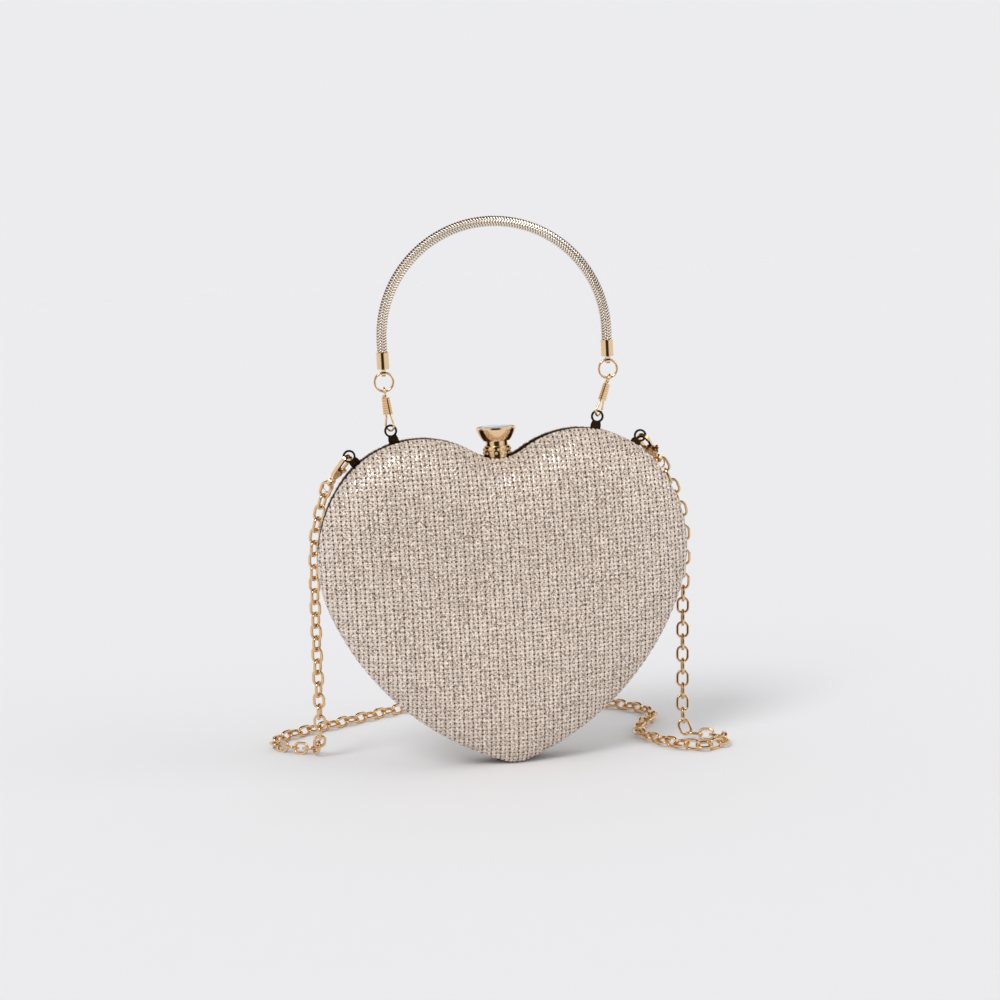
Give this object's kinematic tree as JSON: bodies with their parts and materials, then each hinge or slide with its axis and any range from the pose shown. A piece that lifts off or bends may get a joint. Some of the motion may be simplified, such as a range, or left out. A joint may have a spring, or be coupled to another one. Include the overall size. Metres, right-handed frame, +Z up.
{
  "type": "heart_clutch_purse",
  "caption": "Heart shaped hard case purse covered in glitter rib knit, with a press button clasp in the notch, an arched snake chain handle and a link shoulder chain",
  "frame": {"origin": "on the floor under the heart's tip, in the parting plane of the case", "axes": "+Z up from the tip to the notch, the front cover faces -Y, +X to the right seen from the front"},
  "size_m": [0.2088, 0.1474, 0.2469],
  "materials": {
    "glitter_knit": "ribbed knit with metallic yarn, sparkling",
    "frame_gold": "polished dark gold plate",
    "polished_gold": "polished light gold plate",
    "cut_glass": "clear, faceted",
    "shell_plastic": "moulded, hidden",
    "lining_satin": "satin weave",
    "plain_steel": "plain, hidden"
  },
  "bodies": {
    "case_rear": {"rear_frame": "frame_gold", "rear_cover": "glitter_knit", "rear_shell": "shell_plastic", "rear_lining": "lining_satin", "hinge_pin": "frame_gold", "catch_plate": "polished_gold", "handle_tab_left": "frame_gold", "handle_tab_right": "frame_gold", "strap_tab_left": "frame_gold", "strap_tab_right": "frame_gold", "lobster_body_left": "polished_gold", "lobster_body_right": "polished_gold", "lobster_pin_left": "polished_gold", "lobster_pin_right": "polished_gold", "strap_ring_left": "polished_gold", "strap_ring_right": "polished_gold", "shoulder_chain_left": "polished_gold", "shoulder_chain_floor": "polished_gold", "shoulder_chain_right": "polished_gold"},
    "case_front": {"front_frame": "frame_gold", "front_cover": "glitter_knit", "front_shell": "shell_plastic", "front_lining": "lining_satin", "clasp_collar": "polished_gold", "clasp_collar_stones": "cut_glass", "clasp_nut": "plain_steel", "clasp_spring": "plain_steel"},
    "clasp": {"clasp_button": "polished_gold", "clasp_crystal": "cut_glass", "clasp_latch": "plain_steel"},
    "handle_clips": {"handle_clip_hook_left": "polished_gold", "handle_clip_hook_right": "polished_gold", "handle_clip_sleeve_left": "polished_gold", "handle_clip_sleeve_right": "polished_gold"},
    "handle": {"handle_snake_chain": "polished_gold", "handle_end_cap_left": "polished_gold", "handle_end_cap_right": "polished_gold", "handle_ring_left": "polished_gold", "handle_ring_right": "polished_gold"},
    "clip_gate_left": {"handle_clip_gate_left": "polished_gold"},
    "clip_gate_right": {"handle_clip_gate_right": "polished_gold"},
    "lever_left": {"lobster_lever_left": "polished_gold"},
    "lever_right": {"lobster_lever_right": "polished_gold"}
  },
  "joints": [
    {"name": "case_open", "type": "hinge", "parent": "case_rear", "child": "case_front", "pos_m": [0, 0, 0.0026], "axis": [1, 0, 0], "range_deg": [0, 75]},
    {"name": "button_press", "type": "slide", "parent": "case_front", "child": "clasp", "axis": [0, 0, -1], "range_m": [0, 0.002], "stiffness_N_per_m": 300, "springref_m": -0.002, "deforming": ["clasp_spring"]},
    {"name": "handle_swing", "type": "hinge", "parent": "case_rear", "child": "handle_clips", "pos_m": [0, 0.0026, 0.15571], "axis": [1, 0, 0], "range_deg": [-40, 40]},
    {"name": "handle_fold", "type": "hinge", "parent": "handle_clips", "child": "handle", "pos_m": [0.00223, 0.0026, 0.17166], "axis": [1, 0, -0.0076], "range_deg": [-75, 75]},
    {"name": "clip_gate_press_left", "type": "hinge", "parent": "handle_clips", "child": "clip_gate_left", "pos_m": [-0.04691, 0.0016, 0.16225], "axis": [0.7631, 0.6428, 0.0668], "range_deg": [0, 18], "stiffness_Nm_per_rad": 0.01},
    {"name": "clip_gate_press_right", "type": "hinge", "parent": "handle_clips", "child": "clip_gate_right", "pos_m": [0.05056, 0.0036, 0.16166], "axis": [-0.7221, 0.6428, 0.2557], "range_deg": [0, 18], "stiffness_Nm_per_rad": 0.01},
    {"name": "lobster_lever_pull_left", "type": "hinge", "parent": "case_rear", "child": "lever_left", "pos_m": [-0.0716, 0.0061, 0.1366], "axis": [0.5475, -0.5455, -0.6345], "range_deg": [0, 22], "stiffness_Nm_per_rad": 0.01},
    {"name": "lobster_lever_pull_right", "type": "hinge", "parent": "case_rear", "child": "lever_right", "pos_m": [0.07233, 0.00516, 0.13677], "axis": [-0.5475, -0.5455, -0.6345], "range_deg": [0, 22], "stiffness_Nm_per_rad": 0.01}
  ]
}
